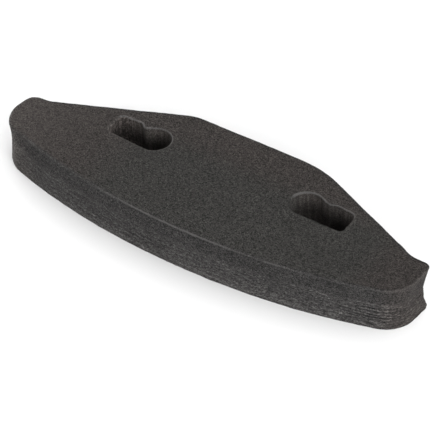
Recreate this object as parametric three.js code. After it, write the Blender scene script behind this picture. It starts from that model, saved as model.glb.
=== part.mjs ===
// Foam front bumper pad for a 1:10 on-road model car.
//
// One block of closed-cell foam, cut right through its thickness. Seen from above it
// is a long crescent: a convex front arc, nearly square ends, a small flared tip at
// each rear corner, then a straight taper to a short straight middle at the back.
// Two keyhole slots for the body posts go right through it. The cut walls are slightly
// hollow: outline and slots are drawn in towards the foam between the two faces.
//
// Frame: millimetres, X along the length, -Y towards the front arc, +Z up.
// Origin: centre of the plan box, on the underside.

import * as THREE from 'three';
import { mergeVertices } from 'three/addons/utils/BufferGeometryUtils.js';

// ---- overall size ----
const LENGTH = 180;                           // tip to tip, before rounding
const DEPTH = 57.4;                           // rear edge to the middle of the front arc
const THICKNESS = 18.4;

const point = (x, y) => new THREE.Vector2(x, y);

// Plan points below are [x, y] from the middle of the rear edge, for the right (+X)
// half. This shift then centres the plan on the origin.
const Y_SHIFT = DEPTH / 2;

// ---- outline: corners before rounding, and their radii ----
const REAR_MIDDLE = point(0, 0);
const REAR_CORNER = point(28.7, 0);           // straight middle meets the taper
const REAR_CORNER_R = 32;
const NECK = point(81.5, -23.5);              // taper meets the flared tip
const NECK_R = 8;
const TIP = point(LENGTH / 2, -23.9);         // rear corner of the end edge
const TIP_R = 3.4;
const END_FRONT = point(LENGTH / 2 - 0.1, -42.65); // end edge meets the front arc
const END_FRONT_R = 12.5;
const END_CHORD_RUN = 14;                     // X run of the arc chord used to round it
const ARC_QUARTIC = 0.095;                    // quartic share of the front arc's rise
const ARC_BLEND = 8;                          // X run that eases the arc into the corner

// ---- keyhole slots ----
const SLOT_ROUND_CENTRE = point(34.6, -19.75);
const SLOT_ROUND_R = 6.55;
const SLOT_ROUND_START = -Math.PI / 2;        // front of the round end, from +X
const SLOT_ROUND_END = 0.92 - 2 * Math.PI;    // at the neck, going round the inner side
const SLOT_BOX_X = 52.75;                     // outer end of the square part
const SLOT_BOX_FRONT_Y = -25.95;
const SLOT_BOX_REAR_Y = -14.95;
const SLOT_BOX_R = 1.5;                       // its two outer corners
const SLOT_NECK = point(41, -16.2);
const SLOT_NECK_R = 1.4;
const SLOT_NECK_RUN = 3.4;                    // X run from the neck to the square part
const SLOT_FRONT_BOW = 0.1;                   // middle of the front edge bows forward

// ---- hollow of the cut walls ----
const OUTER_HOLLOW = 1.2;                     // outer wall, at its deepest
const SLOT_HOLLOW = 0.6;                      // slot walls, at their deepest
const WAIST_Z = 8.2;                          // height of the deepest line
const HOLLOW_POWER = 1.8;                     // shape of the hollow's profile

// ---- subdivision ----
const WALL_STEPS = 8;
const FRONT_ARC_STEPS = 30;                   // each half
const REAR_CORNER_STEPS = 6;                  // rear corner and neck
const END_CORNER_STEPS = 8;                   // both corners of the end edge
const SLOT_ROUND_STEPS = 20;
const SLOT_CORNER_STEPS = 4;
const TOLERANCE = 1e-3;                       // for joining vertices and finding faces

function arcPoints(centre, radius, start, sweep, steps) {
  const points = [];
  for (let i = 0; i <= steps; i++) {
    const angle = start + (sweep * i) / steps;
    points.push(point(
      centre.x + radius * Math.cos(angle),
      centre.y + radius * Math.sin(angle),
    ));
  }
  return points;
}

// The arc that rounds the corner of the path before - vertex - after.
function roundCorner(before, vertex, after, radius, steps) {
  const toBefore = before.clone().sub(vertex).normalize();
  const toAfter = after.clone().sub(vertex).normalize();
  const angle = Math.acos(THREE.MathUtils.clamp(toBefore.dot(toAfter), -1, 1));
  const run = radius / Math.tan(angle / 2);
  const centre = toBefore.clone().add(toAfter).normalize()
    .multiplyScalar(radius / Math.sin(angle / 2))
    .add(vertex);
  const angleAt = (direction) => direction.clone()
    .multiplyScalar(run)
    .add(vertex)
    .sub(centre)
    .angle();
  const start = angleAt(toBefore);
  let sweep = angleAt(toAfter) - start;
  // take the short way round
  if (sweep > Math.PI) sweep -= 2 * Math.PI;
  if (sweep < -Math.PI) sweep += 2 * Math.PI;
  return arcPoints(centre, radius, start, sweep, steps);
}

// Y of the front arc at a distance x from the middle.
function frontY(x) {
  const s = x / END_FRONT.x;
  const rise = (1 - ARC_QUARTIC) * s * s + ARC_QUARTIC * s ** 4;
  return -DEPTH + (END_FRONT.y + DEPTH) * rise;
}

// Right half of the outline, from the rear corner round to the middle of the front.
function rightHalf() {
  // the front end corner is tangent to the end edge and to a chord of the arc
  const chordX = END_FRONT.x - END_CHORD_RUN;
  const chordEnd = point(chordX, frontY(chordX));
  const points = [
    ...roundCorner(REAR_MIDDLE, REAR_CORNER, NECK, REAR_CORNER_R, REAR_CORNER_STEPS),
    ...roundCorner(REAR_CORNER, NECK, TIP, NECK_R, REAR_CORNER_STEPS),
    ...roundCorner(NECK, TIP, END_FRONT, TIP_R, END_CORNER_STEPS),
    ...roundCorner(TIP, END_FRONT, chordEnd, END_FRONT_R, END_CORNER_STEPS),
  ];
  const arcStart = points[points.length - 1];
  const gap = arcStart.y - frontY(arcStart.x);
  for (let i = 1; i <= FRONT_ARC_STEPS; i++) {
    const x = arcStart.x * (1 - i / FRONT_ARC_STEPS);
    const blend = Math.max(0, 1 - (arcStart.x - x) / ARC_BLEND);
    points.push(point(x, frontY(x) + blend * gap));
  }
  return points;
}

// The whole outline, counter-clockwise seen from above.
function padOutline() {
  const right = rightHalf();
  const left = right.slice(0, -1).reverse().map((p) => point(-p.x, p.y));
  return [...right, ...left].reverse().map((p) => point(p.x, p.y + Y_SHIFT));
}

// A round end, joined through a slight neck to a square-ended part further out.
// side is 1 for the right-hand slot and -1 for its mirror image.
function keyhole(side) {
  const boxFront = point(SLOT_BOX_X, SLOT_BOX_FRONT_Y);
  const boxRear = point(SLOT_BOX_X, SLOT_BOX_REAR_Y);
  const boxStart = point(SLOT_NECK.x + SLOT_NECK_RUN, SLOT_BOX_REAR_Y);
  const frontInner = point(SLOT_ROUND_CENTRE.x, SLOT_BOX_FRONT_Y);
  const frontMiddle = point(
    (SLOT_BOX_X + SLOT_ROUND_CENTRE.x) / 2,
    SLOT_BOX_FRONT_Y - SLOT_FRONT_BOW,
  );
  const roundSweep = SLOT_ROUND_END - SLOT_ROUND_START;
  const roundEnd = arcPoints(
    SLOT_ROUND_CENTRE, SLOT_ROUND_R, SLOT_ROUND_START, roundSweep, SLOT_ROUND_STEPS);
  const roundExit = roundEnd[roundEnd.length - 1];
  const points = [
    ...roundEnd,
    ...roundCorner(roundExit, SLOT_NECK, boxStart, SLOT_NECK_R, SLOT_CORNER_STEPS),
    boxStart,
    ...roundCorner(boxStart, boxRear, boxFront, SLOT_BOX_R, SLOT_CORNER_STEPS),
    ...roundCorner(boxRear, boxFront, frontInner, SLOT_BOX_R, SLOT_CORNER_STEPS),
    frontMiddle,
  ];
  return points.map((p) => point(side * p.x, p.y + Y_SHIFT));
}

// How far a cut wall is drawn into the foam at height z.
function hollowAt(z, deepest) {
  const span = z > WAIST_Z ? THICKNESS - WAIST_Z : WAIST_Z;
  const s = Math.abs(z - WAIST_Z) / span;
  return deepest * (1 - s ** HOLLOW_POWER);
}

// Each point of a closed loop with its unit normal into the foam and hollow depth.
function wallPoints({ loop, isHole, deepest }) {
  const turn = (THREE.ShapeUtils.area(loop) > 0 ? 1 : -1) * (isHole ? -1 : 1);
  return loop.map((place, i) => {
    const before = loop[(i + loop.length - 1) % loop.length];
    const after = loop[(i + 1) % loop.length];
    const arriving = place.clone().sub(before).normalize();
    const leaving = after.clone().sub(place).normalize();
    const tangent = arriving.add(leaving).normalize();
    const normal = point(-tangent.y * turn, tangent.x * turn);
    return { place, normal, deepest };
  });
}

function nearestWallPoint(points, x, y) {
  let nearest = points[0];
  let least = Infinity;
  for (const candidate of points) {
    const distance = (candidate.place.x - x) ** 2 + (candidate.place.y - y) ** 2;
    if (distance < least) {
      least = distance;
      nearest = candidate;
    }
  }
  return nearest;
}

// Draws the walls in at every level between the two faces.
function hollowWalls(geometry, walls) {
  const points = walls.flatMap(wallPoints);
  const position = geometry.getAttribute('position');
  for (let i = 0; i < position.count; i++) {
    const z = position.getZ(i);
    if (z < TOLERANCE || z > THICKNESS - TOLERANCE) continue;
    const { place, normal, deepest } =
      nearestWallPoint(points, position.getX(i), position.getY(i));
    const inset = hollowAt(z, deepest);
    position.setXY(i, place.x + normal.x * inset, place.y + normal.y * inset);
  }
}

function foamBlockGeometry() {
  const outline = padOutline();
  const slots = [keyhole(1), keyhole(-1)];
  const shape = new THREE.Shape(outline);
  shape.holes = slots.map((slot) => new THREE.Path(slot));

  const extrusion = new THREE.ExtrudeGeometry(shape, {
    depth: THICKNESS,
    steps: WALL_STEPS,
    bevelEnabled: false,
    curveSegments: 1,
  });
  // vertices join by position alone, so the faces and walls share them
  extrusion.deleteAttribute('normal');
  extrusion.deleteAttribute('uv');
  const geometry = mergeVertices(extrusion, TOLERANCE);

  hollowWalls(geometry, [
    { loop: outline, isHole: false, deepest: OUTER_HOLLOW },
    ...slots.map((loop) => ({ loop, isHole: true, deepest: SLOT_HOLLOW })),
  ]);
  geometry.computeVertexNormals();
  return geometry;
}

const foam = new THREE.MeshStandardMaterial({
  color: 0x3a3735, // dark warm grey
  roughness: 0.95,
  metalness: 0,
});

const foamBlock = new THREE.Mesh(foamBlockGeometry(), foam);
foamBlock.name = 'foam_block';

const bumperPad = new THREE.Group();
bumperPad.add(foamBlock);

export default bumperPad;
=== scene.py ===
"""Foam bumper pad: one block of dark closed-cell foam with two keyhole slots cut through it.

It lies flat on z = 0 with its length along x. The straight rear edge faces +y, the bowed front
arc faces -y, and the two tips point to -x (left) and +x (right). The block is one closed mesh:
cut walls with rounded rims, capped by a top and a bottom face. It is modelled in millimetres and
scaled to metres at the end. The script's numbers are millimetres unless a comment says metres.
"""

import math

import bpy
import numpy as np
from mathutils import Matrix, Vector, geometry


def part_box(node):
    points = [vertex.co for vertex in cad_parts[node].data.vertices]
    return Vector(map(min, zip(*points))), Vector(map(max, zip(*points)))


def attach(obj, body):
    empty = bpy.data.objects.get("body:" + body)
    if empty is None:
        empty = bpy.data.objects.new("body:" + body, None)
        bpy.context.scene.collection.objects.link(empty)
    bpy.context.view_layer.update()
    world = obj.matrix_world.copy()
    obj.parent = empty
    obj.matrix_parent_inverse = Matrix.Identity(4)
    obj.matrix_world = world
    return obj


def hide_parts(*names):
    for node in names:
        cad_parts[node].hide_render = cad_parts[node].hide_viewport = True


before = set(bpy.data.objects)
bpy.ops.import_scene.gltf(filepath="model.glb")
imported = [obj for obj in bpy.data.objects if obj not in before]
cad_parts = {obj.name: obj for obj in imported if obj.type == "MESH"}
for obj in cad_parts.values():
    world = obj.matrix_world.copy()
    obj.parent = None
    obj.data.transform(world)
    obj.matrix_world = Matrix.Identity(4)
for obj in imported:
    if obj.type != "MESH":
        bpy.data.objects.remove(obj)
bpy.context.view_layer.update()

BLOCK_LOW, BLOCK_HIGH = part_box("foam_block")  # metres
THICK = (BLOCK_HIGH.z - BLOCK_LOW.z) * 1000.0
Y_REAR = BLOCK_HIGH.y * 1000.0

# ================================================================================================
# Dimensions
# ================================================================================================
# Each half of the outline: the points where its edges would meet, each with its rounding radius.
# Both halves are given with x positive; y is measured from the rear edge, negative to the front.
RIGHT_HALF = dict(
    rear_end=((28.93, 0.0), 44.0),          # the straight rear edge turns into the slope
    slope_end=((81.58, -23.59), 9.5),       # the slope meets the tip
    tip_rear=((90.72, -23.94), 2.3),
    tip_front=((89.3, -43.0), 11.8),        # the tip meets the front arc
)
LEFT_HALF = dict(
    rear_end=((28.66, 0.0), 15.5),
    slope_end=((81.24, -23.37), 4.2),
    tip_rear=((89.5, -23.85), 4.5),
    tip_front=((91.1, -42.4), 13.6),
)
Y_ARC_MIDDLE = -57.45                       # the middle of the front arc, from the rear edge
ARC_QUARTIC = 0.090                         # share of x^4 in the arc; the rest is x^2
BEZIER_ARC = 0.5523                         # handle length of a Bezier quarter circle

# Keyhole slots: a round end towards the middle, a neck, then a square-ended part further out.
# Same axes as the outline, x positive. Corners are (point, rounding radius).
RIGHT_SLOT = dict(
    centre=(34.92, -19.92), radius=6.46,
    round_end=1.0,                          # angle where the round end stops, radians
    neck=((42.3, -15.80), 2.5), after_neck=((44.7, -14.60), 2.0),
    far_rear=((53.25, -15.40), 2.6), far_front=((54.15, -26.3), 2.1),
)
LEFT_SLOT = dict(
    centre=(33.85, -19.98), radius=6.60,
    round_end=0.92,
    neck=((41.2, -16.50), 0.50), after_neck=((43.6, -14.45), 1.0),
    far_rear=((53.40, -14.95), 1.9), far_front=((52.40, -25.45), 2.2),
)

OUTER_POINTS, SLOT_POINTS = 760, 132        # points round each loop
RIM_STEPS, WALL_STEPS = 4, 50               # rings in each rounded rim, and in the wall between
RING_COUNT = 2 * RIM_STEPS + 2 + WALL_STEPS
OUTER_RIMS = (0.30, 0.26)                   # top and bottom rim radius
SLOT_RIMS = (0.32, 0.32)
FACE_INSET = 0.30                           # flat ring just inside the top rim
TOP_PITCH, BOTTOM_PITCH = 0.66, 1.0         # point spacing of the two faces

# x, how far the front wall leans in at the top
ARC_LEAN = (
    (-86, 0.0), (-82, 0.50), (-78, 1.05), (-73, 0.92), (-60, 0.80), (-45, 0.72), (-30, 0.64),
    (-15, 0.52), (0, 0.42), (14, 0.30), (30, 0.06), (50, 0.06), (90, 0.0),
)
# z, how far the right-hand tip is cut in under its outline
TIP_UNDERCUT = (
    (0.0, 0.40), (0.7, 0.42), (2.0, 0.45), (4.0, 0.55), (6.5, 0.56),
    (9.0, 0.54), (12.0, 0.54), (15.0, 0.42), (17.8, 0.20), (18.4, 0.05),
)
# x, strength of the outer top rim's painted highlight, partly paler crushed cells
RIM_HIGHLIGHT = (
    (-84, 0.35), (-78, 0.55), (-72, 0.80), (-66, 0.70), (-60, 0.56), (-54, 0.45), (-48, 0.42),
    (-42, 0.50), (-36, 0.68), (-30, 0.78), (-24, 0.95), (-18, 1.28), (12, 1.28), (18, 1.10),
    (24, 0.92), (30, 0.66), (36, 0.56), (42, 0.66), (48, 0.62), (54, 0.48), (60, 0.32),
    (72, 0.44), (84, 0.34),
)
# Rim value of the three wall rings under the top rim: (where the rim is wide, elsewhere); positive
# values carry the painted highlight down the wall, negative ones darken a band just below it
UNDER_RIM = ((0.30, -0.14), (0.18, -0.12), (0.08, -0.06))

FACE, OUTER_WALL, SLOT_WALL = 0, 1, 2       # kinds of point


# ================================================================================================
# Noise and easing
# ================================================================================================
def lattice_value(ix, iy, iz, seed):
    """One repeatable value, -1 to 1, for each lattice point."""
    bits = (ix.astype(np.uint32) * np.uint32(0x8DA6B343)
            + iy.astype(np.uint32) * np.uint32(0xD8163841)
            + iz.astype(np.uint32) * np.uint32(0xCB1AB31F)
            + np.uint32((seed * 0x9E3779B9) & 0xFFFFFFFF))
    bits ^= bits >> np.uint32(16)
    bits *= np.uint32(0x7FEB352D)
    bits ^= bits >> np.uint32(15)
    bits *= np.uint32(0x846CA68B)
    bits ^= bits >> np.uint32(16)
    return bits.astype(np.float64) / 4294967295.0 * 2.0 - 1.0


def noise(x, y, z=None, seed=0):
    """Smooth value noise, about -1 to 1, one feature per unit."""
    x = np.asarray(x, float)
    y = np.asarray(y, float) + np.zeros_like(x)
    z = np.zeros_like(x) if z is None else np.asarray(z, float) + np.zeros_like(x)
    low = [np.floor(axis) for axis in (x, y, z)]
    ix, iy, iz = (floor.astype(np.int64) for floor in low)
    fade_x, fade_y, fade_z = (
        t * t * t * (t * (t * 6 - 15) + 10) for t in (x - low[0], y - low[1], z - low[2]))
    mask = 0xFFFFFFFF
    total = 0.0
    for dx, weight_x in ((0, 1 - fade_x), (1, fade_x)):
        for dy, weight_y in ((0, 1 - fade_y), (1, fade_y)):
            for dz, weight_z in ((0, 1 - fade_z), (1, fade_z)):
                value = lattice_value((ix + dx) & mask, (iy + dy) & mask, (iz + dz) & mask, seed)
                total = total + value * weight_x * weight_y * weight_z
    return total


def layered_noise(x, y, z, seed, octaves, gain=0.5):
    total, strength, norm = 0.0, 1.0, 0.0
    for k in range(octaves):
        scale = 2.03 ** k
        total = total + strength * noise(x * scale, y * scale, z * scale, seed + 17 * k)
        norm += strength
        strength *= gain
    return total / norm


def smooth(start, stop, value):
    """Eases from 0 at start to 1 at stop; start may be the larger."""
    t = np.clip((np.asarray(value, float) - start) / (stop - start), 0, 1)
    return t * t * (3 - 2 * t)


def look_up(table, at):
    places, values = zip(*table)
    return np.interp(at, places, values)


# ================================================================================================
# Outline and slot loops
# ================================================================================================
def unit(vector):
    return vector / max(np.linalg.norm(vector), 1e-12)


def fillet(before, corner, after, radius, steps):
    """Arc that rounds a corner between two neighbouring points."""
    before, corner, after = (np.array(p, float) for p in (before, corner, after))
    to_before, to_after = unit(before - corner), unit(after - corner)
    angle = math.acos(float(np.clip(to_before @ to_after, -1, 1)))
    run = min(radius / math.tan(angle / 2),
              0.49 * np.linalg.norm(before - corner),
              0.49 * np.linalg.norm(after - corner))
    radius = run * math.tan(angle / 2)
    centre = corner + unit(to_before + to_after) * (radius / math.sin(angle / 2))
    first, last = corner + to_before * run - centre, corner + to_after * run - centre
    start, stop = math.atan2(first[1], first[0]), math.atan2(last[1], last[0])
    sweep = (stop - start + math.pi) % (2 * math.pi) - math.pi
    turn = start + sweep * np.linspace(0, 1, steps + 1)
    return np.c_[centre[0] + radius * np.cos(turn), centre[1] + radius * np.sin(turn)]


def path_distance(path):
    return np.r_[0, np.cumsum(np.linalg.norm(np.diff(path, axis=0), axis=1))]


def half_outline(half):
    """Open path from the middle of the rear edge to the middle of the front arc, x >= 0."""
    rear_end, rear_radius = half["rear_end"]
    slope_end, slope_radius = half["slope_end"]
    tip_rear, tip_radius = half["tip_rear"]
    (tip_x, tip_y), front_radius = half["tip_front"]
    share = np.linspace(1, 0, 61)
    bow = (1 - ARC_QUARTIC) * share ** 2 + ARC_QUARTIC * share ** 4
    arc = np.c_[tip_x * share, Y_ARC_MIDDLE + (tip_y - Y_ARC_MIDDLE) * bow]
    distance = path_distance(arc)

    def on_arc(reach):
        return np.array([np.interp(reach, distance, arc[:, 0]),
                         np.interp(reach, distance, arc[:, 1])])

    # The front corner of the tip: a Bezier from the tip's side on to the curved arc.
    side = np.array(tip_rear) - arc[0]
    side_length = np.linalg.norm(side)
    side = side / side_length
    along_arc = unit(arc[1] - arc[0])
    for _ in range(4):
        angle = math.acos(float(np.clip(side @ along_arc, -1, 1)))
        reach = min(front_radius / math.tan(angle / 2), 0.6 * side_length)
        along_arc = unit(on_arc(reach) - arc[0])
    start, stop = arc[0] + side * reach, on_arc(reach)
    tangent = unit(on_arc(reach * 1.02 + 0.1) - stop)
    handle = BEZIER_ARC * reach
    t = np.linspace(0, 1, 25)[:, None]
    front_corner = ((1 - t) ** 3 * start + 3 * (1 - t) ** 2 * t * (start - side * handle)
                    + 3 * (1 - t) * t ** 2 * (stop - tangent * handle) + t ** 3 * stop)
    return np.vstack([
        [(0, 0)],
        fillet((0, 0), rear_end, slope_end, rear_radius, 14),
        fillet(rear_end, slope_end, tip_rear, slope_radius, 12),
        fillet(slope_end, tip_rear, start, tip_radius, 14),
        front_corner,
        arc[distance > reach + 1e-6],
    ])


def even_loop(path, count, soften):
    """Evenly spaced points along a closed path, with its last facets softened; and its length."""
    path = np.vstack([path, path[:1]])
    path = path[np.r_[True, np.linalg.norm(np.diff(path, axis=0), axis=1) > 1e-7]]
    distance = path_distance(path)
    at = np.linspace(0, distance[-1], count, endpoint=False)
    loop = np.c_[np.interp(at, distance, path[:, 0]), np.interp(at, distance, path[:, 1])]
    for _ in range(soften):
        loop = 0.25 * np.roll(loop, 1, 0) + 0.5 * loop + 0.25 * np.roll(loop, -1, 0)
    loop[:, 1] += Y_REAR
    return loop, distance[-1]


def outer_loop():
    """The outline, counter-clockwise from above."""
    left = half_outline(LEFT_HALF)[::-1].copy()
    left[:, 0] *= -1
    path = np.vstack([half_outline(RIGHT_HALF), left[1:-1]])[::-1]
    return even_loop(path, OUTER_POINTS, soften=2)


def slot_loop(slot, side):
    """A slot, clockwise from above, so that the foam lies on its left. side is 1 or -1."""
    centre_x, centre_y = slot["centre"]
    radius = slot["radius"]
    turn = np.linspace(-math.pi / 2, slot["round_end"] - 2 * math.pi, 61)
    parts = [np.c_[centre_x + radius * np.cos(turn), centre_y + radius * np.sin(turn)]]
    corners = [slot[name] for name in ("neck", "after_neck", "far_rear", "far_front")]
    chain = [parts[0][-1]] + [point for point, _ in corners] + [(centre_x, centre_y - radius)]
    for k, steps in enumerate((10, 8, 10, 10)):
        parts.append(fillet(chain[k], chain[k + 1], chain[k + 2], corners[k][1], steps))
    path = np.vstack(parts)
    path[:, 0] *= side
    if side < 0:
        path = path[::-1]                   # mirroring had turned it round
    return even_loop(path, SLOT_POINTS, soften=1)


def into_foam(loop):
    """Unit normals of a loop, pointing to its left, into the foam."""
    tangent = np.roll(loop, -1, 0) - np.roll(loop, 1, 0)
    tangent /= np.linalg.norm(tangent, axis=1, keepdims=True)
    normal = np.c_[-tangent[:, 1], tangent[:, 0]]
    for _ in range(3):
        normal = 0.25 * np.roll(normal, 1, 0) + 0.5 * normal + 0.25 * np.roll(normal, -1, 0)
    return normal / np.linalg.norm(normal, axis=1, keepdims=True)


# ================================================================================================
# Walls
# ================================================================================================
def hollow(z, depth, waist, power_up, power_down):
    """How far a wall is drawn in: most at the waist height, nothing at the top and bottom."""
    up = np.clip((z - waist) / (THICK - waist), 0, 1)
    down = np.clip((waist - z) / waist, 0, 1)
    return np.where(z > waist, depth * (1 - up ** power_up), depth * (1 - down ** power_down))


def outer_hollow(loop, z):
    """The outer wall is drawn in deepest at the right-hand end and shallow at the left."""
    x, y = loop[:, 0:1], loop[:, 1:2]
    right = smooth(20, 86, x)
    left = smooth(-30, -88, x)
    rear = smooth(-2, 8, y)
    drawn = hollow(
        z,
        depth=1.08 + 0.33 * right - 0.46 * left + 0.05 * rear,
        waist=9.7 - 0.3 * right + 0.6 * left - 0.9 * rear,
        power_up=1.35 - 0.25 * right + 1.2 * left + 0.2 * rear,
        power_down=1.7 + 0.5 * right - 0.5 * left,
    )
    lean = look_up(ARC_LEAN, x) * smooth(-8, -14, y)    # only along the front arc
    return drawn + lean * smooth(THICK - 7.0, THICK, z)


def trim(loop, inward, z):
    """Departures of the cut from the outline, positive into the foam: a touch proud at the rear,
    the left end and the foot; the right-hand tip is cut a little short and under."""
    x = loop[:, 0:1]
    out_x, out_y = -inward[:, 0:1], -inward[:, 1:2]
    front = smooth(0.15, 0.5, -out_y) * smooth(-85, -79, x)
    proud = 0.25 * (1 - front) + 0.25 * front * smooth(3.5, 0.6, z)
    corner = smooth(0.60, 0.76, -out_y) * (1 - front) * smooth(4.0, 1.0, z) * (x < 0)
    proud = proud - 0.25 * corner
    right_side = smooth(0.55, 0.8, out_x) * smooth(80, 86, x)
    proud = proud * (1 - 0.6 * right_side * (0.6 + 0.4 * smooth(0.8, 3.0, z)))
    short = smooth(-0.30, 0.55, out_x) * smooth(-0.16, 0.22, out_y) * smooth(82.5, 87, x)
    return -proud * (1 - short) + look_up(TIP_UNDERCUT, z) * short


def wall_rings(loop, inward, wobble, outer):
    """Points of a cut wall, loop points by rings, from the top face down."""
    top_radius, bottom_radius = OUTER_RIMS if outer else SLOT_RIMS
    top = top_radius * wobble[:, None]
    bottom = bottom_radius * wobble[:, None]
    ones = np.ones((len(loop), 1))
    heights, insets = [THICK * ones], [top + FACE_INSET]
    quarter = [(math.pi / 2) * k / RIM_STEPS for k in range(RIM_STEPS + 1)]
    for angle in quarter:
        heights.append(THICK - top * (1 - math.cos(angle)))
        insets.append(top * (1 - math.sin(angle)))
    for k in range(1, WALL_STEPS):
        heights.append(THICK - top + (bottom - (THICK - top)) * k / WALL_STEPS)
        insets.append(0 * ones)
    for angle in reversed(quarter):
        heights.append(bottom * (1 - math.cos(angle)))
        insets.append(bottom * (1 - math.sin(angle)))
    z = np.hstack(heights)
    inset = np.hstack(insets)
    if outer:
        inset = inset + outer_hollow(loop, z) + trim(loop, inward, z)
    else:
        inset = inset + hollow(z, depth=0.30, waist=9.0, power_up=1.5, power_down=1.6)
    points = np.empty(z.shape + (3,))
    points[..., 0] = loop[:, 0:1] + inward[:, 0:1] * inset
    points[..., 1] = loop[:, 1:2] + inward[:, 1:2] * inset
    points[..., 2] = z
    if outer:       # eases the tips where the wall is drawn in deeper than they are round
        ease = 0.5 * smooth(1.2, 2.0, inset) * smooth(83.0, 86.5, np.abs(loop[:, 0:1]))
        for _ in range(10):
            middle = 0.5 * (np.roll(points, 1, 0) + np.roll(points, -1, 0))
            points[..., :2] += ease[..., None] * (middle - points)[..., :2]
    return points


def rim_wobble(length, count, which):
    """Factor on the rim radius round a loop, without a seam."""
    angle = 2 * math.pi * np.arange(count) / count
    radius = length / (2 * math.pi)
    x, y = radius * np.cos(angle), radius * np.sin(angle)
    return (1.0 + 0.35 * noise(x / 5.0, y / 5.0, seed=3 + which)
            + 0.18 * noise(x / 1.7, y / 1.7, seed=9 + which))


# ================================================================================================
# Top and bottom faces
# ================================================================================================
def inside(points, polygon):
    """True for each point inside a closed polygon."""
    x, y = points[:, 0], points[:, 1]
    hit = np.zeros(len(points), bool)
    for (x0, y0), (x1, y1) in zip(polygon, np.roll(polygon, -1, 0)):
        if y0 == y1:
            continue
        crosses = (y0 > y) != (y1 > y)
        hit ^= crosses & (x < (x1 - x0) * (y - y0) / (y1 - y0) + x0)
    return hit


def far_from(points, loop, gap):
    """True for each point further than gap from all of a loop's points."""
    keep = np.ones(len(points), bool)
    for i in range(0, len(points), 2000):
        offsets = points[i:i + 2000][:, None, :] - loop[None, :, :]
        keep[i:i + 2000] = (offsets ** 2).sum(2).min(1) > gap * gap
    return keep


def fill_face(loops, loop_ids, pitch, seed):
    """Fills between the outer loop and the slot loops with an even triangle net.
    Returns the new points and the triangles; -1 - k in a triangle means new point k."""
    outer, holes = loops[0], loops[1:]
    rng = np.random.default_rng(seed)
    x0, y0 = outer.min(0)
    x1, y1 = outer.max(0)
    rows = []
    for j, y in enumerate(np.arange(y0 + pitch * 0.5, y1, pitch * math.sqrt(3) / 2)):
        xs = np.arange(x0 + pitch * (0.5 if j % 2 else 1.0), x1, pitch)
        rows.append(np.c_[xs, np.full(len(xs), y)])
    grid = np.vstack(rows)
    grid += rng.uniform(-0.17, 0.17, grid.shape) * pitch
    grid = grid[inside(grid, outer)]
    for hole in holes:
        grid = grid[~inside(grid, hole)]
    for loop in loops:
        grid = grid[far_from(grid, loop, pitch * 0.55)]

    edges, start = [], 0
    for loop in loops:
        count = len(loop)
        edges += [(start + i, start + (i + 1) % count) for i in range(count)]
        start += count
    ids = np.concatenate(loop_ids + [-1 - np.arange(len(grid))])
    flat_points = [Vector(p) for p in np.vstack(loops + [grid]).tolist()]
    net = geometry.delaunay_2d_cdt(flat_points, edges, [], 1, 1e-6)
    places = np.array([(p.x, p.y) for p in net[0]])
    sources = np.array([source[0] for source in net[3]])
    tris = np.array([face for face in net[2] if len(face) == 3])
    middle = places[tris].mean(1)
    keep = inside(middle, outer)
    for hole in holes:
        keep &= ~inside(middle, hole)
    tris = tris[keep]
    first, second, third = (places[tris[:, i]] for i in range(3))
    turn = ((second[:, 0] - first[:, 0]) * (third[:, 1] - first[:, 1])
            - (second[:, 1] - first[:, 1]) * (third[:, 0] - first[:, 0]))
    clockwise = turn < 0
    tris[clockwise] = tris[clockwise][:, ::-1]
    return grid, ids[sources][tris]


# ================================================================================================
# The block
# ================================================================================================
def quad_corners(here, after):
    """Values at the four corners of each wall quad, wound to face out of the foam."""
    corners = [here[:, :-1], here[:, 1:], after[:, 1:], after[:, :-1]]
    return np.stack(corners, -1).reshape(-1, 4)


def build_block():
    """Returns points, their kinds, wall quads, the quads' wall coordinates (distance round the
    wall and height), face triangles, and each wall's distance at each of its points."""
    loops = [outer_loop(), slot_loop(RIGHT_SLOT, 1), slot_loop(LEFT_SLOT, -1)]
    points, kinds, quads, quad_places, along = [], [], [], [], []
    walls, wall_ids = [], []
    base = 0
    for which, (loop, length) in enumerate(loops):
        count = len(loop)
        step = length / count
        distance = np.arange(count) * step
        wall = wall_rings(loop, into_foam(loop), rim_wobble(length, count, which), which == 0)
        ids = base + np.arange(count * RING_COUNT).reshape(count, RING_COUNT)
        points.append(wall.reshape(-1, 3))
        kinds.append(np.full(ids.size, OUTER_WALL if which == 0 else SLOT_WALL))
        along.append(np.repeat(distance, RING_COUNT))
        quads.append(quad_corners(ids, np.roll(ids, -1, 0)))
        level = np.zeros((1, RING_COUNT))
        height = wall[..., 2]
        across = quad_corners(distance[:, None] + level, (distance + step)[:, None] + level)
        upward = quad_corners(height, np.roll(height, -1, 0))
        quad_places.append(np.stack([across + 1000.0 * which, upward], -1))
        walls.append(wall)
        wall_ids.append(ids)
        base += ids.size
    tris = []
    for z, ring, pitch, seed in ((THICK, 0, TOP_PITCH, 5), (0.0, -1, BOTTOM_PITCH, 6)):
        grid, tri = fill_face([wall[:, ring, :2] for wall in walls],
                              [ids[:, ring] for ids in wall_ids], pitch, seed)
        tri = np.where(tri < 0, base - 1 - tri, tri)
        if ring != 0:
            tri = tri[:, ::-1]              # the bottom faces down
        points.append(np.c_[grid, np.full(len(grid), z)])
        kinds.append(np.full(len(grid), FACE))
        base += len(grid)
        tris.append(tri)
    return (np.vstack(points), np.concatenate(kinds), np.vstack(quads),
            np.vstack(quad_places), np.vstack(tris), along)


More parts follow.
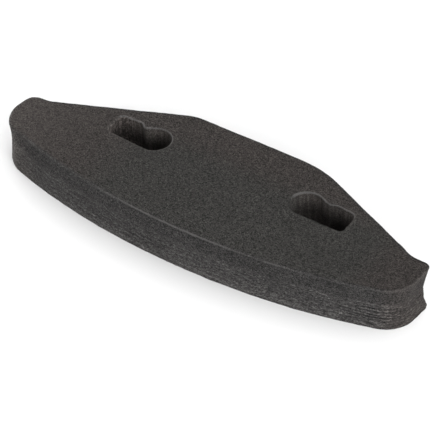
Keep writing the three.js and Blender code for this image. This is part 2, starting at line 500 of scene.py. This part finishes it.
def make_mesh(name, points, quads, tris):
    mesh = bpy.data.meshes.new(name)
    quad_count, tri_count = len(quads), len(tris)
    mesh.vertices.add(len(points))
    mesh.vertices.foreach_set("co", points.astype(np.float32).ravel())
    mesh.loops.add(quad_count * 4 + tri_count * 3)
    corners = np.concatenate([quads.ravel(), tris.ravel()])
    mesh.loops.foreach_set("vertex_index", corners.astype(np.int32))
    mesh.polygons.add(quad_count + tri_count)
    starts = np.concatenate([np.arange(quad_count) * 4, quad_count * 4 + np.arange(tri_count) * 3])
    mesh.polygons.foreach_set("loop_start", starts.astype(np.int32))
    mesh.polygons.foreach_set("use_smooth", np.ones(quad_count + tri_count, bool))
    mesh.update(calc_edges=True)
    return mesh


# ================================================================================================
# Surface relief
# ================================================================================================
def knife_lines(along, z, pitch, drift, weave, seed):
    """Nearly level lines round the wall, -1 to 1, that drift and weave."""
    phase = (z / pitch + drift * noise(along / 24.0, 0 * along + 0.3, seed=seed)
             + weave * noise(along / 7.5, z / 3.4, seed=seed + 1)
             + 0.18 * noise(along / 2.6, z / 1.5, seed=seed + 2))
    wave = np.cos(2 * math.pi * phase)
    return np.sign(wave) * np.abs(wave) ** 0.8


def wall_marks(along, x, z):
    """Relief in mm and mark value of the outer wall, at a distance along it."""
    low = smooth(11.6, 9.6, z + 0.5 * noise(along / 13.0, 0 * along, seed=40))
    right = smooth(30, 84, x)
    # three sets of broken cutting lines; the third only towards the right-hand end
    wide = knife_lines(along, z, pitch=1.78, drift=0.55, weave=0.36, seed=43)
    fine = knife_lines(along, z, pitch=1.12, drift=0.70, weave=0.50, seed=83)
    medium = knife_lines(along, z, pitch=1.34, drift=0.60, weave=0.42, seed=143)
    wide_on = smooth(-0.40, 0.35, noise(along / 6.0, z / 1.5, seed=45))
    fine_on = smooth(-0.20, 0.45, noise(along / 3.4, z / 1.1, seed=49))
    medium_on = smooth(-0.25, 0.40, noise(along / 2.7, z / 1.2, seed=50))
    streak = (0.72 * wide * (0.25 + 0.75 * wide_on) * (1 - 0.65 * right)
              + 0.50 * fine * fine_on + 0.85 * right * medium * medium_on)
    streak = np.where(streak > 0, 1.12, 0.80) * streak
    round_end = 1 - 0.50 * smooth(83.5, 88.5, x)
    # a narrow level line at the waist
    ledge = np.exp(-((z - 10.5 - 0.45 * noise(along / 9.0, 0 * along, seed=57)) / 0.42) ** 2)
    ledge = ledge * (0.22 + 0.62 * smooth(60, 74, x)
                     + 0.30 * smooth(74, 78, x) * smooth(89, 85, x)
                     + 0.20 * smooth(-70, -76, x) * smooth(-86, -82, x)) \
        * (0.45 + 0.55 * smooth(-0.3, 0.2, noise(along / 4.5, 0 * along, seed=58)))
    strength = ((0.08 + 0.92 * low) * (0.85 + 1.15 * right)
                * (1 - 0.35 * smooth(-58, -80, x)) * round_end)
    wave = (0.10 * noise(along / 17.0, z / 9.0, seed=46)
            + (0.04 + 0.05 * right) * noise(along / 4.2, z / 3.1, seed=47))
    torn = 0.035 * noise(along / 0.9, z / 0.7, seed=48) * (0.5 + 0.5 * low)
    return 0.10 * streak * strength + wave + torn, streak * strength + ledge * round_end


def add_relief(points, normals, kind, along):
    """Moves the points along their normals; returns them and the cutting-mark value."""
    x, y, z = points.T
    flat = np.abs(normals[:, 2])
    # the sheet's slight waviness, the torn tops of the larger cells, and small open pits
    sheet = 0.055 * noise(x / 26, y / 19, seed=21) + 0.030 * noise(x / 9, y / 8, seed=22)
    cells = (0.016 * layered_noise(x / 1.9, y / 1.9, z / 1.9, seed=31, octaves=2)
             + 0.020 * noise(x / 0.95, y / 0.95, z / 0.95, seed=33))
    push = flat * sheet + cells
    push -= 0.06 * smooth(0.55, 0.9, noise(x / 1.15, y / 1.15, z / 1.15, seed=35)) * flat

    # outer wall: marks that run along it, blended with those met from the other side of its start
    wall = kind == OUTER_WALL
    around = along[0]
    girth = around.max() * OUTER_POINTS / (OUTER_POINTS - 1)
    relief, value = wall_marks(around, x[wall], z[wall])
    relief_before, value_before = wall_marks(around - girth, x[wall], z[wall])
    join = smooth(girth - 16.0, girth - 1.0, around)
    marks = np.zeros(len(points))
    marks[wall] = value * (1 - join) + value_before * join
    push[wall] += (1 - flat[wall] ** 2) * (relief * (1 - join) + relief_before * join)

    # slot walls: upright cutting marks, and rougher outer ends
    wall = kind == SLOT_WALL
    around = np.concatenate([along[1], along[2] + 300.0])
    z_wall = z[wall]
    upright = (0.10 * noise(around / 1.9, z_wall / 16.0, seed=51)
               + 0.03 * noise(around / 0.9, z_wall / 7.0, seed=52))
    far_end = smooth(46.0, 52.0, np.abs(x[wall]))
    rough = (0.03 + 0.10 * far_end) * noise(around / 1.1, z_wall / 1.0, seed=53)
    push[wall] += (1 - flat[wall] ** 2) * (upright + rough)

    moved = points + normals * push[:, None]
    moved[:, 2] = np.maximum(moved[:, 2], 0.0)
    return moved, marks


# ================================================================================================
# Attributes the material reads
# ================================================================================================
def rim_strength(which, x, facing_x, facing_y):
    """How strong the top rim's painted highlight is round a loop, partly paler crushed cells: a
    wall that faces the front, towards the lamps, carries most of it.
    """
    strength = 0.12 + 0.88 * smooth(0.15, -0.55, facing_y)
    if which == 0:      # painted highlight strongest along the middle of the front arc
        strength = strength * look_up(RIM_HIGHLIGHT, x)
        return np.maximum(strength, 0.66 * smooth(78, 84, x) * smooth(0.75, 0.35, facing_y))
    if which == 1:      # right-hand slot: painted highlight at its rear and left
        strength = (strength - 0.42 * smooth(-0.1, 0.4, facing_y)
                    - 0.25 * smooth(-0.2, -0.8, facing_x))
        return (strength + 0.25 * smooth(-0.3, -0.8, facing_y) * smooth(44, 38, x)
                + 0.60 * smooth(0.30, 0.85, facing_x) * smooth(0.25, -0.05, facing_y))
    # left-hand slot: painted highlight all round
    strength = strength + 0.18 * smooth(0.25, 0.8, facing_x) * smooth(-46, -49.5, x)
    return (strength + 0.10 * smooth(-0.1, 0.4, facing_y)
            + 0.38 * smooth(-0.05, -0.6, facing_x))


def rim_values(points, normals):
    values = np.zeros(len(points))
    start = 0
    for which, count in enumerate((OUTER_POINTS, SLOT_POINTS, SLOT_POINTS)):
        stop = start + count * RING_COUNT
        x = points[start:stop].reshape(count, RING_COUNT, 3)[:, 0, 0]
        facing = normals[start:stop].reshape(count, RING_COUNT, 3)[:, RIM_STEPS + 4]
        strength = rim_strength(which, x, facing[:, 0], facing[:, 1])
        wide = smooth(74, 88, x) if which == 0 else np.zeros(count)
        rings = np.zeros((count, RING_COUNT))
        rings[:, 1:RIM_STEPS + 2] = strength[:, None]
        rings[:, 0] = strength * 0.10
        rings[:, RIM_STEPS + 2] = strength * (0.12 + 0.35 * wide)
        for k, (soft, dark) in enumerate(UNDER_RIM):
            rings[:, RIM_STEPS + 3 + k] = np.abs(strength) * (soft * wide + dark * (1 - wide))
        values[start:stop] = rings.ravel()
        start = stop
    return values


def add_wall_coordinates(mesh, points, quad_places, tris):
    """Walls: distance round and height. Faces: x, set apart by an offset, and y."""
    corner = np.zeros((len(mesh.loops), 3), np.float32)
    split = len(quad_places) * 4
    corner[:split, :2] = quad_places.reshape(-1, 2)
    face_points = points[tris.ravel()]
    corner[split:, 0] = face_points[:, 0] + 4000.0
    corner[split:, 1] = face_points[:, 1]
    attribute = mesh.attributes.new("foam_st", "FLOAT_VECTOR", "CORNER")
    attribute.data.foreach_set("vector", corner.ravel())


def make_foam():
    points, kind, quads, quad_places, tris, along = build_block()
    mesh = make_mesh("foam_block_visual", points, quads, tris)
    normals = np.empty(len(points) * 3, np.float32)
    mesh.vertices.foreach_get("normal", normals)
    normals = normals.reshape(-1, 3).astype(float)
    points, marks = add_relief(points, normals, kind, along)
    mesh.vertices.foreach_set("co", (points / 1000.0).astype(np.float32).ravel())
    add_wall_coordinates(mesh, points, quad_places, tris)
    for name, values in (("foam_mark", marks), ("foam_wall", kind == OUTER_WALL),
                         ("foam_rim", rim_values(points, normals)),
                         ("foam_slot", kind == SLOT_WALL)):
        attribute = mesh.attributes.new(name, "FLOAT", "POINT")
        attribute.data.foreach_set("value", values.astype(np.float32))
    mesh.update()
    mesh.validate()
    return mesh


foam_mesh = make_foam()
foam = bpy.data.objects.new("foam_block_visual", foam_mesh)
bpy.context.scene.collection.objects.link(foam)
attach(foam, "root")
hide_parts("foam_block")


# ================================================================================================
# Shader helpers. They add to `tree`, the node tree being built.
# ================================================================================================
def set_inputs(target, values):
    """Links each input to a socket, or sets it to a value."""
    for key, value in values.items():
        if isinstance(value, bpy.types.NodeSocket):
            tree.links.new(value, target.inputs[key])
        else:
            target.inputs[key].default_value = value


def node(kind, inputs=None, **settings):
    made = tree.nodes.new(kind)
    for name, value in settings.items():
        setattr(made, name, value)
    set_inputs(made, inputs or {})
    return made


def calculate(operation, first, second, clamp=False):
    return node("ShaderNodeMath", {0: first, 1: second},
                operation=operation, use_clamp=clamp).outputs[0]


def times(first, *others):
    for other in others:
        first = calculate("MULTIPLY", first, other)
    return first


def plus(first, *others):
    for other in others:
        first = calculate("ADD", first, other)
    return first


def largest(first, second):
    return calculate("MAXIMUM", first, second)


def linear(value, gain, offset):
    return plus(times(value, gain), offset)


def ramp(value, over, to, shape="SMOOTHSTEP"):
    """Goes between the two values of `to` while value goes over the span `over`."""
    return node("ShaderNodeMapRange", {
        "Value": value, "From Min": over[0], "From Max": over[1],
        "To Min": to[0], "To Max": to[1],
    }, interpolation_type=shape).outputs["Result"]


def blend(factor, start, end, data_type="FLOAT"):
    return node("ShaderNodeMix", {"Factor": factor, "A": start, "B": end},
                data_type=data_type).outputs["Result"]


def noise_texture(vector, scale, detail=2.0, roughness=0.5, distortion=0.0):
    return node("ShaderNodeTexNoise", {
        "Vector": vector, "Scale": scale, "Detail": detail,
        "Roughness": roughness, "Distortion": distortion,
    }).outputs["Fac"]


def cells_texture(vector, scale):
    return node("ShaderNodeTexVoronoi", {"Vector": vector, "Scale": scale}, feature="F1")


def cell_distance(vector, scale):
    return cells_texture(vector, scale).outputs["Distance"]


def cell_value(vector, scale):
    """One random value per cell, 0 to 1."""
    colour = cells_texture(vector, scale).outputs["Color"]
    return node("ShaderNodeSeparateXYZ", {0: colour}).outputs["X"]


def attribute_node(name):
    return node("ShaderNodeAttribute", attribute_name=name)


def stretched(scale):
    """Wall coordinates, scaled so that a texture runs along or up the wall."""
    return node("ShaderNodeMapping", {"Vector": wall_place, "Scale": scale}).outputs[0]


def mix_shaders(factor, first, second):
    return node("ShaderNodeMixShader", {0: factor, 1: first, 2: second}).outputs[0]


# ================================================================================================
# Foam material. `tone` gathers factors on the base colour.
# ================================================================================================
foam_material = bpy.data.materials.new("closed_cell_foam")
foam_material.use_nodes = True
tree = foam_material.node_tree
tree.nodes.clear()

coordinates = node("ShaderNodeTexCoord")
place = node("ShaderNodeVectorMath", {0: coordinates.outputs["Object"], "Scale": 1000.0},
             operation="SCALE").outputs[0]  # object coordinates in millimetres
at_x, at_y, at_z = node("ShaderNodeSeparateXYZ", {0: place}).outputs
wall_place = attribute_node("foam_st").outputs["Vector"]
on_wall = attribute_node("foam_wall").outputs["Fac"]
on_slot = attribute_node("foam_slot").outputs["Fac"]

# ---- patterns ----
grain = noise_texture(place, scale=3.3, roughness=0.65)
mottle = noise_texture(place, scale=0.42, detail=3.0, roughness=0.55)
patches = noise_texture(place, scale=0.06)
marks_wide = noise_texture(stretched(scale=(0.14, 1.0, 1.0)), scale=1.1, detail=3.0,
                           roughness=0.6, distortion=0.35)
marks_fine = noise_texture(stretched(scale=(0.2, 1.0, 1.0)), scale=2.2,
                           roughness=0.6, distortion=0.2)
height_noise = noise_texture(place, scale=0.075, detail=1.0)
wavy_z = plus(at_z, times(calculate("SUBTRACT", height_noise, 0.5), 3.0))
low_wall = times(ramp(wavy_z, over=(9.6, 11.6), to=(1.0, 0.0)), on_wall)

# ---- bump, height in mm ----
mark_height = plus(times(marks_wide, 0.30), times(marks_fine, 0.16))
height = plus(
    times(cell_distance(place, scale=1.9), 0.22),
    times(cell_distance(place, scale=4.6), 0.06),
    times(grain, 0.30),
    times(mark_height, plus(times(low_wall, 0.85), times(on_wall, 0.15))),
)
bump = node("ShaderNodeBump", {"Strength": 0.75, "Distance": 0.001, "Height": height})

# ---- cells: each catches the light its own way ----
cell_tone = times(linear(cell_value(place, scale=2.65), gain=1.48, offset=0.26),
                  linear(cell_value(place, scale=4.1), gain=0.90, offset=0.55))
tone = times(cell_tone, ramp(grain, over=(0.30, 0.72), to=(0.68, 1.32)))
contrast = largest(times(on_wall, 1.26),
                   times(ramp(at_x, over=(-72, -44), to=(0.80, 1.09)),
                         ramp(at_x, over=(20, 60), to=(1.0, 0.92))))
tone = calculate("POWER", tone, contrast)

# the lower wall's cells are drawn out along the cut
dragged = stretched(scale=(0.62, 1.55, 1.0))
drag_tone = times(linear(cell_value(dragged, scale=2.4), gain=1.40, offset=0.30),
                  linear(cell_value(dragged, scale=4.0), gain=1.00, offset=0.50))
drag_contrast = times(
    ramp(at_x, over=(-52, -34), to=(1.0, 1.26)),
    ramp(at_x, over=(58, 78), to=(1.0, 1.06)),
    ramp(at_z, over=(0.8, 4.0), to=(0.78, 1.0)),
)
drag_tone = times(
    calculate("POWER", drag_tone, drag_contrast),
    ramp(at_x, over=(-52, -34), to=(1.0, 0.975)),
    times(ramp(at_x, over=(60, 76), to=(1.0, 0.93)),
          ramp(at_x, over=(83, 87), to=(1.0, 0.93))),
)
tone = blend(times(low_wall, 0.85), tone, drag_tone)
tone = blend(times(on_slot, 0.45), tone, 1.0)   # the cells show less inside the slots

# ---- broad variation, a painted sheen towards the rear edge, and the outer wall's cutting marks ----
# patches at random, times a painted sheen that lightens the top towards the rear edge
patch_and_sheen_tone = times(ramp(patches, over=(0.30, 0.70), to=(0.97, 1.03)),
                   ramp(at_y, over=(Y_REAR - 17.0, Y_REAR - 4.0), to=(1.0, 1.07)))
mark_tone = times(
    ramp(marks_wide, over=(0.36, 0.64), to=(0.94, 1.06)),
    ramp(marks_fine, over=(0.36, 0.64), to=(0.92, 1.08)),
    linear(attribute_node("foam_mark").outputs["Fac"], gain=0.50, offset=1.0),
)
tone = times(tone, ramp(mottle, over=(0.30, 0.70), to=(0.95, 1.05)), patch_and_sheen_tone,
             blend(low_wall, 1.0, mark_tone))

# ---- outer wall: darker upper half and paler lower half, painted shade and light where the hollow wall faces down and up, partly a rougher cut below; palest at the foot of the arc's middle, painted light from the floor ----
half_tone = times(ramp(wavy_z, over=(9.7, 11.9), to=(1.24, 0.88)),
                  ramp(noise_texture(place, scale=0.085), over=(0.32, 0.68), to=(0.91, 1.09)))
foot_tone = blend(times(ramp(at_x, over=(50, 76), to=(1.0, 0.40)),
                        ramp(at_x, over=(-85, -66), to=(0.0, 1.0))),
                  1.0,
                  ramp(at_z, over=(0.4, 5.2), to=(1.52, 1.0)))
tone = times(tone, blend(on_wall, 1.0, times(half_tone, foot_tone)))

# ---- slots: upright bands down the walls ----
bands = noise_texture(stretched(scale=(1.0, 0.07, 1.0)), scale=0.8, detail=1.0, distortion=0.05)
tone = times(tone, blend(on_slot, 1.0, ramp(bands, over=(0.36, 0.64), to=(0.76, 1.20))))

# painted light and shade in the slots: walls lighter near the top and darker partway down, and
# painted shade just under the top where the rim carries no painted highlight
lip = times(ramp(at_z, over=(THICK - 0.50, THICK - 0.15), to=(0.0, 0.38)),
            ramp(attribute_node("foam_rim").outputs["Fac"], over=(0.15, 0.60), to=(1.0, 0.0)))
depth_tone = times(ramp(at_z, over=(THICK - 11.5, THICK - 2.2), to=(0.62, 1.68)),
                   ramp(at_z, over=(THICK - 12.0, THICK - 8.6), to=(1.9, 1.0)))
tone = times(tone, blend(on_slot, 1.0, times(depth_tone, calculate("SUBTRACT", 1.0, lip))))

# painted light and shade along x on the slot walls: the right-hand slot darker past its neck and
# lighter towards its outer end, the left-hand slot lighter towards its outer end; with flecks at
# the left-hand slot's outer end
flecks = ramp(noise_texture(place, scale=1.0), over=(0.42, 0.66), to=(0.66, 1.60))
torn_tone = blend(ramp(at_x, over=(-50, -45), to=(1.0, 0.0)), 1.0, flecks)
side_tone = times(
    times(ramp(at_x, over=(40, 43.5), to=(1.0, 0.62)),
          ramp(at_x, over=(43.5, 51), to=(1.0, 1.95))),
    times(ramp(at_x, over=(-51.5, -47), to=(1.22, 1.0)),
          times(ramp(at_x, over=(-51.5, -49.5), to=(0.84, 1.0)),
                ramp(at_x, over=(-46, -41.5), to=(1.20, 1.0)))),
)
tone = times(tone, blend(on_slot, 1.0, times(side_tone, torn_tone)))

# ---- left-hand end: paler, painted light from a lamp near that end, with a duller waist, a lifted patch and a darker wedge at the top ----
dull = times(
    times(ramp(at_x, over=(-77, -74), to=(0.0, 1.0)),
          ramp(at_x, over=(-70, -64), to=(1.0, 0.0))),
    times(ramp(wavy_z, over=(7.6, 8.8), to=(0.0, 1.0)),
          ramp(wavy_z, over=(14.5, 17.5), to=(1.0, 0.25))),
)
lifted = times(
    times(ramp(at_x, over=(-84.5, -82), to=(0.0, 1.0)),
          ramp(at_x, over=(-79, -76), to=(1.0, 0.0))),
    times(ramp(wavy_z, over=(7.8, 9.8), to=(0.0, 1.0)),
          ramp(at_z, over=(15.0, 17.4), to=(1.0, 0.0))),
)
wedge = times(
    ramp(at_x, over=(-86, -83.5), to=(0.0, 1.0)),
    ramp(at_x, over=(-78.5, -75), to=(1.0, 0.0)),
    ramp(at_z, over=(14.2, 16.0), to=(0.0, 1.0)),
)
left_wall = times(
    ramp(at_x, over=(-90, -54), to=(1.30, 1.0)),
    ramp(at_x, over=(-89, -83), to=(1.22, 1.0)),
    times(ramp(at_x, over=(-85, -79), to=(1.46, 0.85)),
          ramp(at_x, over=(-70, -56), to=(1.0, 1.176))),
    calculate("SUBTRACT", 1.0, times(dull, 0.17)),
    plus(1.0, times(lifted, 0.19)),
    calculate("SUBTRACT", 1.0, times(wedge, 0.17)),
)
# the top face paler towards the left-hand end, painted light
tone = times(tone, blend(on_wall, ramp(at_x, over=(-92, -38), to=(1.44, 1.0)), left_wall))

# ---- rims: paler along the top edges, painted highlight where they catch the lamps, partly crushed cells ----
rim = attribute_node("foam_rim").outputs["Fac"]
rim_broken = ramp(noise_texture(place, scale=0.22, detail=1.0), over=(0.34, 0.62), to=(0.76, 1.0))
crushed_and_highlight = times(rim, rim_broken)
tone = times(blend(times(crushed_and_highlight, 0.75), tone, 1.0), linear(crushed_and_highlight, gain=1.25, offset=1.0))

# ---- colour: dark charcoal, warmer along the rear and towards the tips ----
warm = largest(ramp(at_y, over=(Y_REAR - 24.0, Y_REAR - 10.0), to=(0.0, 1.0)),
               ramp(at_x, over=(-54, -28), to=(1.0, 0.0)))
warm = largest(warm, ramp(at_x, over=(64, 80), to=(0.0, 1.0)))
face_colour = blend(warm, (0.0285, 0.0275, 0.0256, 1), (0.0311, 0.0270, 0.0250, 1), "RGBA")
wall_colour = node("ShaderNodeRGB").outputs[0]
wall_colour.default_value = (0.0288, 0.0276, 0.0270, 1)
off_tips = times(ramp(at_x, over=(78, 88), to=(1.0, 0.2)),
                 ramp(at_x, over=(-82, -62), to=(0.5, 1.0)))
# the rims' painted highlight takes the cooler wall colour
cut_share = largest(times(on_wall, off_tips), times(rim, off_tips))
base_colour = blend(cut_share, face_colour, wall_colour, "RGBA")
colour = node("ShaderNodeVectorMath", {0: base_colour, "Scale": tone}, operation="SCALE")

surface = node("ShaderNodeBsdfPrincipled", {
    "Base Color": colour.outputs[0],
    "Roughness": ramp(grain, over=(0.3, 0.7), to=(0.82, 0.96)),
    "Specular IOR Level": 0.19,
    "Normal": bump.outputs[0],
})
node("ShaderNodeOutputMaterial", {"Surface": surface.outputs[0]})
foam_mesh.materials.append(foam_material)

# ================================================================================================
# Floor, in metres
# ================================================================================================
FLOOR_HALF = 3.0
FLOOR_DROP = 0.00005                        # keeps the floor just clear of the foam
floor_mesh = bpy.data.meshes.new("floor")
floor_mesh.from_pydata([(sx * FLOOR_HALF, sy * FLOOR_HALF, 0)
                        for sx, sy in ((-1, -1), (1, -1), (1, 1), (-1, 1))], [], [(0, 1, 2, 3)])
floor = bpy.data.objects.new("floor", floor_mesh)
floor.location = (0, 0, -FLOOR_DROP)
bpy.context.scene.collection.objects.link(floor)

floor_material = bpy.data.materials.new("floor_white")
floor_material.use_nodes = True
tree = floor_material.node_tree
matt = tree.nodes["Principled BSDF"]
set_inputs(matt, {"Base Color": (0.85, 0.85, 0.85, 1), "Roughness": 0.9,
                  "Specular IOR Level": 0.1})
floor_point = node("ShaderNodeNewGeometry").outputs
ray = node("ShaderNodeLightPath").outputs

# further out, the camera sees plain white
reach = node("ShaderNodeVectorMath", {0: floor_point["Position"]}, operation="LENGTH")
far_out = ramp(reach.outputs["Value"], over=(0.19, 0.30), to=(0.0, 1.0))
white = node("ShaderNodeEmission")
seen = mix_shaders(times(far_out, ray["Is Camera Ray"]), matt.outputs[0], white.outputs[0])

# looked at from below, the floor is clear
from_below = times(floor_point["Backfacing"], ray["Is Camera Ray"])
seen = mix_shaders(from_below, seen, node("ShaderNodeBsdfTransparent").outputs[0])

# what rests right on the floor is lit from it, so its underside shows; the gap that counts as
# resting is larger inside an oval, well within the outline, than at the rim
oval = node("ShaderNodeVectorMath",
            {0: floor_point["Position"], 1: (1 / 0.085, 1 / 0.0268, 0.0)}, operation="MULTIPLY")
oval_reach = node("ShaderNodeVectorMath", {0: oval.outputs[0]}, operation="LENGTH")
gap = ramp(oval_reach.outputs["Value"], over=(0.96, 1.02), to=(0.0007, 0.00022), shape="LINEAR")
close = calculate("LESS_THAN", ray["Ray Length"], gap)
lit = calculate("SUBTRACT", close, ray["Is Camera Ray"], clamp=True)
glow = node("ShaderNodeEmission", {"Strength": 1.7})
seen = mix_shaders(lit, seen, glow.outputs[0])
set_inputs(tree.nodes["Material Output"], {"Surface": seen})
floor_mesh.materials.append(floor_material)

# ================================================================================================
# World: a faint dome for light, plain white to the camera
# ================================================================================================
world = bpy.data.worlds.new("studio")
bpy.context.scene.world = world
world.use_nodes = True
tree = world.node_tree
dome = tree.nodes["Background"]
set_inputs(dome, {"Color": (1, 1, 1, 1), "Strength": 0.15})
backdrop = node("ShaderNodeBackground", {"Color": (1, 1, 1, 1), "Strength": 1.0})
camera_ray = node("ShaderNodeLightPath").outputs["Is Camera Ray"]
world_mix = mix_shaders(camera_ray, dome.outputs[0], backdrop.outputs[0])
set_inputs(tree.nodes["World Output"], {"Surface": world_mix})

# ================================================================================================
# Lights: square softboxes that point at the pad
# ================================================================================================
LIGHT_TARGET = Vector((0.0, 0.0, 0.009))    # metres
# name, azimuth (0 in front of the arc at -y, 90 at +x) and elevation in degrees,
# distance and size in metres, power in watts
SOFTBOXES = (
    ("key_right", 60, 22, 0.75, 0.5, 6.05),
    ("back_soft", 180, 60, 1.0, 1.2, 6.4),
    ("front_low", 0, 22, 0.75, 0.5, 1.17),
    ("right_near", 90, 35, 0.5, 0.6, 1.10),
    ("left_near", 255, 18, 0.33, 0.26, 0.72),
    ("left_front_near", 315, 18, 0.33, 0.26, 0.33),
)


def direction(azimuth, elevation):
    """Unit vector from the pad towards a light or the camera; angles in radians."""
    return Vector((math.sin(azimuth) * math.cos(elevation),
                   -math.cos(azimuth) * math.cos(elevation), math.sin(elevation)))


for name, azimuth, elevation, distance, size, power in SOFTBOXES:
    outward = direction(math.radians(azimuth), math.radians(elevation))
    light = bpy.data.lights.new(name, "AREA")
    light.shape = "SQUARE"
    light.size = size
    light.energy = power
    softbox = bpy.data.objects.new(name, light)
    softbox.location = LIGHT_TARGET + outward * distance
    softbox.rotation_euler = outward.to_track_quat("Z", "Y").to_euler()
    softbox.visible_camera = False
    bpy.context.scene.collection.objects.link(softbox)

# ================================================================================================
# Camera
# ================================================================================================
CAMERA_AZIMUTH, CAMERA_ELEVATION = math.radians(35.665), math.radians(40.797)
CAMERA_ROLL = math.radians(-1.523)
CAMERA_DISTANCE = 0.9086                    # metres
CAMERA_TARGET = Vector((1.026, -27.599 + Y_REAR, 0.0)) / 1000.0

backward = direction(CAMERA_AZIMUTH, CAMERA_ELEVATION)
level_right = (-backward).cross(Vector((0, 0, 1))).normalized()
level_up = level_right.cross(-backward)
right = math.cos(CAMERA_ROLL) * level_right + math.sin(CAMERA_ROLL) * level_up
up = -math.sin(CAMERA_ROLL) * level_right + math.cos(CAMERA_ROLL) * level_up
pose = Matrix((right, up, backward)).transposed().to_4x4()
pose.translation = CAMERA_TARGET + backward * CAMERA_DISTANCE

camera_data = bpy.data.cameras.new("camera")
camera_data.sensor_width = 36.0
camera_data.lens = 198.2127273
camera_data.clip_start = 0.01               # metres
camera_data.clip_end = 50.0
camera = bpy.data.objects.new("camera", camera_data)
bpy.context.scene.collection.objects.link(camera)
camera.matrix_world = pose
bpy.context.scene.camera = camera
bpy.context.scene.view_settings.view_transform = "Standard"
